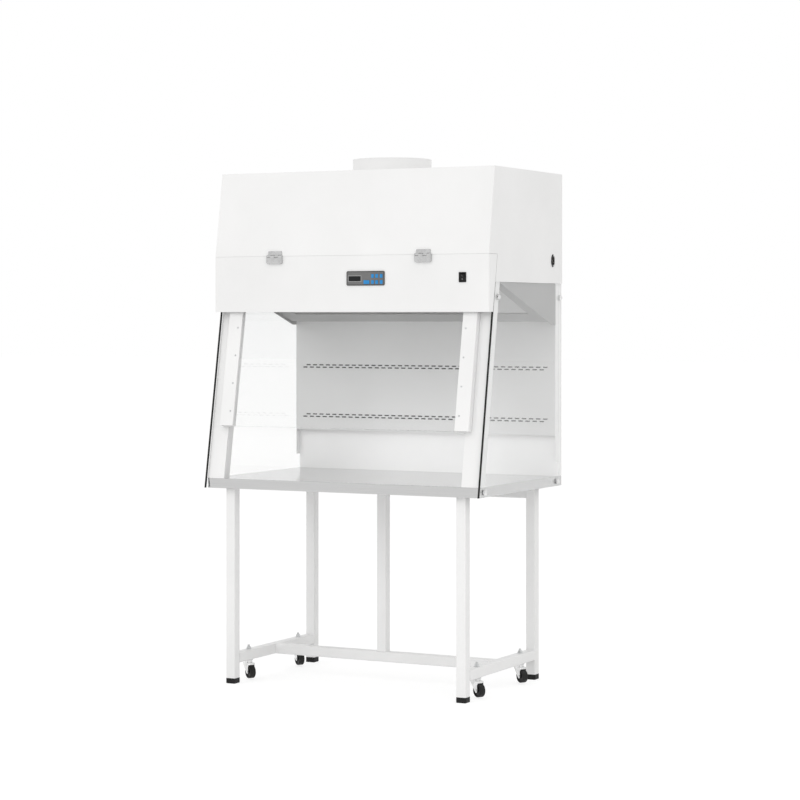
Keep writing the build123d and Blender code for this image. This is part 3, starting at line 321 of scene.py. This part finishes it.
# dark grey as painted shade for the shadow under the hood's top
CEILING_PAINTED_SHADE = powder_coat("ceiling_painted_shade", grey(0.34), grey(0.37), (0.5, 0.6))
CHROME = plated("bright_chrome", grey(0.62), grey(0.78), (0.06, 0.14))
ZINC = plated("zinc_plate", (0.55, 0.56, 0.56), (0.68, 0.69, 0.7), (0.28, 0.42))
HINGE = plated("satin_hinge", grey(0.53), grey(0.6), (0.24, 0.3))
NICKEL = plated("nickel_pin", (0.6, 0.58, 0.52), (0.72, 0.7, 0.64), (0.12, 0.25))
GALVANISED = galvanised("galvanised_sheet")
RUBBER = moulded("black_rubber", grey(0.01), grey(0.018), (0.55, 0.75), sheen=0.25)
TYRE = moulded("castor_tyre", grey(0.006), grey(0.012), (0.4, 0.6), sheen=0.3)
BLACK = moulded("black_plastic", grey(0.006), grey(0.01), (0.35, 0.5), sheen=0.25)
PANEL = moulded("grey_panel", grey(0.13), grey(0.155), (0.4, 0.5))
RIM = moulded("panel_rim", grey(0.045), grey(0.06), (0.4, 0.5))
SURROUND = moulded("display_surround", grey(0.26), grey(0.3), (0.35, 0.45))
GASKET = moulded("white_gasket", grey(0.74), grey(0.78), (0.6, 0.7))
MARK = moulded("white_mark", grey(0.4), grey(0.46), (0.4, 0.5))
DISPLAY = moulded(
    "dark_display", (0.008, 0.009, 0.01), (0.012, 0.013, 0.014), (0.3, 0.4), sheen=0.2
)
KEY_BLUE = moulded("blue_key", (0.012, 0.22, 0.53), (0.02, 0.25, 0.6), (0.45, 0.55))
SIDE_GLASS = pane_glass("clear_side_glass", (0.996, 0.998, 0.997), (0.99, 0.993, 0.992))
MEDIA = pleated_media("pleated_media")
LAMP = moulded("opal_diffuser", grey(0.82), grey(0.86), (0.4, 0.5))
MOTOR = cast_paint("motor_paint")

FINISHES = {
    WHITE: [
        "legs", "side_rails", "cross_rail", "centre_post", "rear_top_rail", "base_frame",
        "front_post_left", "front_post_right", "baffle_cheeks",
        "hood_side_left", "hood_side_right", "hood_top", "front_cover", "front_flap",
        "exhaust_collar",
    ],
    ALLOY_WHITE: ["sash_stiles", "sash_tracks"],
    STEEL_TOP: ["worktop"],
    BAFFLE_PAINTED_SHADE: ["rear_baffle"],
    BACK: ["back_panel"],
    CEILING_PAINTED_SHADE: ["ceiling_panel"],
    CHROME: ["glass_knobs"] + [f"castor_fork_{n}" for n in range(1, 5)],
    ZINC: ["castor_stems", "castor_nuts", "sash_screws"],
    HINGE: ["hinge_upper_leaves", "hinge_lower_leaves", "hinge_pins"],
    GALVANISED: ["blower_shelf", "blower_housing", "blower_impeller"],
    RUBBER: ["glass_edge_seals", "foot_caps"],
    TYRE: [f"castor_wheel_{n}" for n in range(1, 5)],
    BLACK: ["switch_bezel", "switch_rocker", "power_inlet"],
    PANEL: ["control_panel"],
    DISPLAY: ["display_window"],
    KEY_BLUE: [f"key_{n}" for n in range(1, 8)],
    SIDE_GLASS: ["side_glass_left", "side_glass_right", "sash_pane"],
    MEDIA: ["supply_filter", "exhaust_filter"],
    LAMP: ["led_lamp"],
    MOTOR: ["blower_motor"],
}


PANE_INSET = 0.0003         # metres


def part_glass():
    """Draws the panes' faces a hair inside the metal that they lie against."""
    for name in FINISHES[SIDE_GLASS]:
        gap = nodes[name].modifiers.new("hairline", "DISPLACE")
        gap.mid_level = 0
        gap.strength = -PANE_INSET


def dress_nodes():
    """Gives every CAD node its finish."""
    for material, names in FINISHES.items():
        for name in names:
            materials = nodes[name].data.materials
            if not materials:
                materials.append(material)
            for index in range(len(materials)):
                materials[index] = material


# ----------------------------------------------------------- small details
MM = 0.001
FRONT = -370.15 * MM         # the worktop's front edge
HOOD_FACE = FRONT + 68 * MM
HOOD_HALF = 603 * MM         # from the middle to the hood's side
BACK_FACE = 385.85 * MM
SLANT = radians(10)          # lean of the sash, from upright
ROUND_STEPS = 6
QUARTERS = ((1, 1), (-1, 1), (-1, -1), (1, -1))
FACING = ((0, -1, 0), (0, 0, 1))      # out of the hood's front, and up it


def turned(out, up, place):
    """Matrix that carries local Z to out and local Y to up, at a place."""
    out = Vector(out).normalized()
    up = Vector(up)
    side = up.cross(out).normalized()
    level = out.cross(side)
    matrix = Matrix((side, level, out)).transposed().to_4x4()
    matrix.translation = Vector(place)
    return matrix


def add_piece(name, points, faces, material, body, slot):
    """A mesh that rides on a CAD body and takes the material given; the slot is not used."""
    mesh = bpy.data.meshes.new(name)
    mesh.from_pydata(points, [], faces)
    tidy = bmesh.new()
    tidy.from_mesh(mesh)
    bmesh.ops.recalc_face_normals(tidy, faces=tidy.faces)
    tidy.to_mesh(mesh)
    tidy.free()
    mesh.materials.append(material)
    piece = bpy.data.objects.new(name, mesh)
    bpy.context.scene.collection.objects.link(piece)
    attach(piece, body)
    return piece


def repeated(points, faces, frames):
    """The same small form at each frame."""
    all_points = []
    all_faces = []
    for frame_at in frames:
        start = len(all_points)
        all_points.extend(tuple(frame_at @ Vector(point)) for point in points)
        all_faces.extend(tuple(start + index for index in face) for face in faces)
    return all_points, all_faces


SCREW_STEPS = 24
SCREW_PROFILE = ((1, -0.1), (1, 0.35), (0.93, 0.72), (0.78, 1))    # share of radius, of height


def screw_form(radius, height):
    """A pan-head screw with a cross recess: its points and faces, seat at Z 0."""
    form = bmesh.new()
    steps = SCREW_STEPS
    recess, arm, reach = 0.6 * height, 0.16 * radius, 0.62 * radius
    rings = []
    for share, level in SCREW_PROFILE:
        ring = []
        for step in range(steps):
            turn = 2 * pi * step / steps
            x, y = radius * share * cos(turn), radius * share * sin(turn)
            ring.append(form.verts.new((x, y, height * level)))
        rings.append(ring)
    for lower, upper in zip(rings, rings[1:]):
        for step in range(steps):
            ahead = (step + 1) % steps
            form.faces.new((lower[step], lower[ahead], upper[ahead], upper[step]))
    form.faces.new(list(reversed(rings[0])))
    cross = [
        (arm, arm), (arm, reach), (-arm, reach), (-arm, arm), (-reach, arm), (-reach, -arm),
        (-arm, -arm), (-arm, -reach), (arm, -reach), (arm, -arm), (reach, -arm), (reach, arm),
    ]
    rim = [form.verts.new((x, y, height)) for x, y in cross]
    floor = [form.verts.new((0.8 * x, 0.8 * y, height - recess)) for x, y in cross]
    count = len(cross)
    edges = [form.edges.new((rim[i], rim[(i + 1) % count])) for i in range(count)]
    crown = rings[-1]
    edges.extend(form.edges.get((crown[i], crown[(i + 1) % steps])) for i in range(steps))
    bmesh.ops.triangle_fill(form, use_beauty=True, edges=edges)
    for i in range(count):
        ahead = (i + 1) % count
        form.faces.new((rim[i], floor[i], floor[ahead], rim[ahead]))
    form.faces.new(floor)
    form.verts.index_update()
    points = [tuple(vertex.co) for vertex in form.verts]
    faces = [tuple(vertex.index for vertex in face.verts) for face in form.faces]
    form.free()
    return points, faces


def add_screws(name, places, out, up, radius, height, body):
    """Plated screws at places in metres, their heads' radius and height in mm."""
    points, faces = screw_form(radius * MM, height * MM)
    frames = [turned(out, up, place) for place in places]
    return add_piece(name, *repeated(points, faces, frames), ZINC, body, "zinc")


def rounded_loop(width, height, corner, lift):
    """Points round a rounded rectangle at one height."""
    loop = []
    for quarter, (sx, sy) in enumerate(QUARTERS):
        for step in range(ROUND_STEPS + 1):
            turn = pi / 2 * (quarter + step / ROUND_STEPS)
            x = sx * (width / 2 - corner) + corner * cos(turn)
            y = sy * (height / 2 - corner) + corner * sin(turn)
            loop.append((x, y, lift))
    return loop


def add_ring(name, loops, at, material, body, slot):
    """A closed band through rounded loops, each given as width, height, corner and lift in mm."""
    rings = [rounded_loop(*(value * MM for value in loop)) for loop in loops]
    points = [tuple(at @ Vector(point)) for ring in rings for point in ring]
    size = len(rings[0])
    faces = []
    for index in range(len(rings)):
        low = index * size
        high = (index + 1) % len(rings) * size
        for step in range(size):
            ahead = (step + 1) % size
            faces.append((low + step, low + ahead, high + ahead, high + step))
    return add_piece(name, points, faces, material, body, slot)


def add_block(name, sizes, frames, material, body, slot, ease=0.15):
    """Eased rectangular blocks, sizes in mm, standing on each frame's plane."""
    width, height, depth = sizes
    levels = ((0, 0), (0, depth - ease), (ease, depth))
    points = []
    for inset, lift in levels:
        x, y = (width / 2 - inset) * MM, (height / 2 - inset) * MM
        points.extend((sx * x, sy * y, lift * MM) for sx, sy in QUARTERS)
    faces = [(0, 1, 2, 3), (8, 9, 10, 11)]
    for low in (0, 4):
        for step in range(4):
            ahead = (step + 1) % 4
            faces.append((low + step, low + ahead, low + 4 + ahead, low + 4 + step))
    return add_piece(name, *repeated(points, faces, frames), material, body, slot)


def front_spot(x, y, z):
    """A place on the hood's front: X and Z in mm, Y in metres."""
    return turned(*FACING, (x * MM, y, z * MM))


PANEL_FACE = HOOD_FACE - 4 * MM
PANEL_MIDDLE = (78.5, PANEL_FACE, 1597.7)
DISPLAY_MIDDLE = (31.7, PANEL_FACE, 1596.5)


def panel_details():
    """The panel's dark rim and the raised surround of its display."""
    rim = (
        (165, 55, 5.5, -0.2), (164.6, 54.6, 5.3, 0.5), (159, 49, 3.2, 0.5), (158.4, 48.4, 3, -0.2),
    )
    at = front_spot(*PANEL_MIDDLE)
    add_ring("panel_rim", rim, at, RIM, "flap", "panel_plastic")
    surround = ((60, 26, 2, -0.2), (59, 25, 1.6, 0.7), (54.6, 20.6, 0.8, 0.4), (53, 19, 0.5, -0.3))
    at = front_spot(*DISPLAY_MIDDLE)
    add_ring("display_surround", surround, at, SURROUND, "flap", "panel_plastic")


SWITCH_X = 493              # mm
SWITCH_Z = 1599             # mm
SWITCH_LEAN = radians(20)
SWITCH_STAND_OUT = 2.9      # mm, of the pressed half
SWITCH_RAISED = 2.2         # mm, of the other half beyond that
OFF_DROP = 7.4              # mm, the marks' places below and above the middle
ON_RISE = 5.4


def switch_details():
    """The generic on and off marks of the rocker switch."""
    face = HOOD_FACE - SWITCH_STAND_OUT * MM
    outer, inner, thickness = 4.6, 3.2, 0.12
    off = [
        (size, size, size / 2, lift)
        for size, lift in ((outer, -0.1), (outer, thickness), (inner, thickness), (inner, -0.1))
    ]
    off_at = front_spot(SWITCH_X, face, SWITCH_Z - OFF_DROP)
    add_ring("switch_off_mark", off, off_at, MARK, "rocker", "black_plastic")
    out = (0, -cos(SWITCH_LEAN), -sin(SWITCH_LEAN))
    up = (0, -sin(SWITCH_LEAN), cos(SWITCH_LEAN))
    place = (SWITCH_X * MM, face - SWITCH_RAISED * MM, (SWITCH_Z + ON_RISE) * MM)
    on_at = turned(out, up, place)
    bar = (0.9, 4.8, 0.15)
    add_block("switch_on_mark", bar, [on_at], MARK, "rocker", "black_plastic", ease=0.05)


INLET_Y = 660               # mm behind the front
INLET_Z = 1672              # mm
PIN_SIZES = (2.3, 4.3, 15.95)
PIN_SEAT = HOOD_HALF - 12.4 * MM
PIN_SPREAD = 7 * MM         # the outer pins above and below the middle one
PIN_SETBACK = 3.5 * MM      # the middle pin toward the front
EAR_FACE = HOOD_HALF + 3.5 * MM
EAR_SPREAD = 20 * MM


def inlet_details():
    """The inlet's three plated pins and its two fixing screws."""
    y, z = FRONT + INLET_Y * MM, INLET_Z * MM
    spots = ((y, z - PIN_SPREAD), (y - PIN_SETBACK, z), (y, z + PIN_SPREAD))
    frames = [turned((1, 0, 0), (0, 0, 1), (PIN_SEAT, *spot)) for spot in spots]
    add_block("inlet_pins", PIN_SIZES, frames, NICKEL, "cabinet", "zinc", ease=0.6)
    ears = [(EAR_FACE, y, z + side * EAR_SPREAD) for side in (-1, 1)]
    add_screws("inlet_screws", ears, (1, 0, 0), (0, 0.3, 1), 2.9, 1.2, "cabinet")


GASKET_SIZES = (1204, 7, 0.65)
GASKET_PLACE = (0, HOOD_FACE + 4.5 * MM, 1686.85 * MM)


def gap_gasket():
    """A thin white strip seals the gap between the fixed cover and the lifting front."""
    at = turned((0, 0, 1), (0, 1, 0), GASKET_PLACE)
    add_block("cover_gasket", GASKET_SIZES, [at], GASKET, "cabinet", "wheel_rubber", ease=0.1)


COLLAR_Y = FRONT + 438 * MM
COLLAR_MOUTH = 2076.4 * MM
COLLAR_RADIUS = 156.6 * MM
BEAD_RADIUS = 1.5 * MM
COLLAR_STEPS = 96
BEAD_STEPS = 10
FLANGE_TOP = 2021.5 * MM
FLANGE_SCREW_RADIUS = 166 * MM
FLANGE_SCREWS = 8


def collar_details():
    """The rolled bead at the collar's mouth and the screws in its flange."""
    points = []
    faces = []
    for step in range(COLLAR_STEPS):
        turn = 2 * pi * step / COLLAR_STEPS
        here, there = step * BEAD_STEPS, (step + 1) % COLLAR_STEPS * BEAD_STEPS
        for side in range(BEAD_STEPS):
            roll = 2 * pi * side / BEAD_STEPS
            reach = COLLAR_RADIUS + BEAD_RADIUS * cos(roll)
            height = COLLAR_MOUTH + BEAD_RADIUS * sin(roll)
            points.append((reach * cos(turn), reach * sin(turn) + COLLAR_Y, height))
            ahead = (side + 1) % BEAD_STEPS
            faces.append((here + side, there + side, there + ahead, here + ahead))
    add_piece("collar_bead", points, faces, WHITE, "cabinet", "galvanised")
    ring = []
    for step in range(FLANGE_SCREWS):
        turn = 2 * pi * (step + 0.5) / FLANGE_SCREWS
        x, y = FLANGE_SCREW_RADIUS * cos(turn), FLANGE_SCREW_RADIUS * sin(turn)
        ring.append((x, COLLAR_Y + y, FLANGE_TOP))
    add_screws("collar_screws", ring, (0, 0, 1), (0.3, 1, 0), 3.4, 1.6, "cabinet")


BACK_COLUMNS = (-583, -194, 194, 583)      # mm
BACK_ENDS = (824, 2006)                    # mm, the lowest and the highest screws
BACK_LEVELS = (1060, 1297, 1533, 1770)     # mm, those between, at the sides only


def back_details():
    """The screws round the removable back."""
    spots = [(x, z) for x in BACK_COLUMNS for z in BACK_ENDS]
    spots += [(x, z) for z in BACK_LEVELS for x in (BACK_COLUMNS[0], BACK_COLUMNS[-1])]
    places = [(x * MM, BACK_FACE, z * MM) for x, z in spots]
    add_screws("back_screws", places, (0, 1, 0), (0.4, 0, 1), 3.6, 0.8, "cabinet")


WORKTOP_Z = 812 * MM
STILE_X = 502 * MM
STILE_FACE = 28 * MM         # ahead of the slope's own plane
LOWEST_SCREW = 265 * MM      # along the slope, from the worktop
SCREW_PITCH = 111 * MM
SCREWS_PER_STILE = 4


def sash_details():
    """The stiles' screws with their cross recesses, in place of the plain heads."""
    out = Vector((0, -cos(SLANT), sin(SLANT)))
    up = Vector((0, sin(SLANT), cos(SLANT)))
    foot = Vector((0, FRONT, WORKTOP_Z)) + out * STILE_FACE
    places = []
    for x in (-STILE_X, STILE_X):
        for number in range(SCREWS_PER_STILE):
            along = LOWEST_SCREW + SCREW_PITCH * number
            places.append(foot + up * along + Vector((x, 0, 0)))
    screws = add_screws("sash_screw_heads", places, out, up, 3.5, 1.3, "sash")
    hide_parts("sash_screws")


EASED = [
    "hood_side_left", "hood_side_right", "hood_top", "front_cover", "front_flap", "legs",
    "hinge_upper_leaves", "hinge_lower_leaves", "front_post_left", "front_post_right",
]
EASE_WIDTH = 0.4 * MM
EASE_ANGLE = radians(40)     # folds sharper than this are softened


def ease_edges():
    """Softens the sharp folds of the sheet and the cut ends of the tubes."""
    for name in EASED:
        ease = nodes[name].modifiers.new("eased_edges", "BEVEL")
        ease.width = EASE_WIDTH
        ease.segments = 2
        ease.limit_method = "ANGLE"
        ease.angle_limit = EASE_ANGLE
        ease.harden_normals = False


# ------------------------------------------------------------ studio
WORLD_COLOUR = (1, 0.995, 0.985, 1)
WORLD_LIGHT = 0.85
FLOOR_HALF = 60             # metres


def make_floor():
    """The floor under the cabinet, wide enough to reach the horizon."""
    mesh = bpy.data.meshes.new("studio_floor")
    half = FLOOR_HALF
    corners = [(-half, -half, 0), (half, -half, 0), (half, half, 0), (-half, half, 0)]
    mesh.from_pydata(corners, [], [(0, 1, 2, 3)])
    floor = bpy.data.objects.new("studio_floor", mesh)
    floor.data.materials.append(floor_material())
    bpy.context.scene.collection.objects.link(floor)


def make_world():
    """White to the eye, to metal and to glass, and a soft pale light to everything else."""
    world = bpy.data.worlds.new("studio_world")
    bpy.context.scene.world = world
    world.use_nodes = True
    tree = world.node_tree
    light = tree.nodes["Background"]
    light.inputs["Color"].default_value = WORLD_COLOUR
    light.inputs["Strength"].default_value = WORLD_LIGHT
    white = tree.nodes.new("ShaderNodeBackground")
    white.inputs["Color"].default_value = (1, 1, 1, 1)
    grey_light, white_light = light.outputs["Background"], white.outputs["Background"]
    send_mix(tree, shows_backdrop(tree), grey_light, white_light, "World Output")


LAMPS = (
    # name, place, aim, width, height, watts
    ("key_light", (-3.2, -5.2, 4.6), (0, 0, 1.2), 3.5, 3.5, 59),
    ("fill_light", (5.0, -3.0, 3.2), (0, 0, 1.2), 3.5, 3.5, 38),
    ("top_light", (0, 0.4, 6.0), (0, 0, 1.0), 4.0, 4.0, 30),
    ("low_light", (0.6, -2.6, 0.5), (0, 0.3, 0.95), 1.2, 1.2, 6),
    ("chamber_light", (0, -0.12, 0.85), (0, 0.36, 0.97), 0.9, 0.06, 1.5),
)


def make_lamps():
    """Large soft lamps round the cabinet, and a thin strip that fills its chamber."""
    for name, place, aim, width, height, watts in LAMPS:
        data = bpy.data.lights.new(name, "AREA")
        data.shape = "RECTANGLE"
        data.size = width
        data.size_y = height
        data.energy = watts
        lamp = bpy.data.objects.new(name, data)
        lamp.location = place
        lamp.visible_camera = False
        lamp.visible_glossy = False
        lamp.visible_transmission = False
        way = Vector(aim) - Vector(place)
        lamp.rotation_euler = way.to_track_quat("-Z", "Y").to_euler()
        bpy.context.scene.collection.objects.link(lamp)


make_camera()
dress_nodes()
part_glass()
ease_edges()
panel_details()
switch_details()
inlet_details()
gap_gasket()
collar_details()
back_details()
sash_details()
make_floor()
make_world()
make_lamps()
bpy.context.scene.view_settings.view_transform = "Standard"
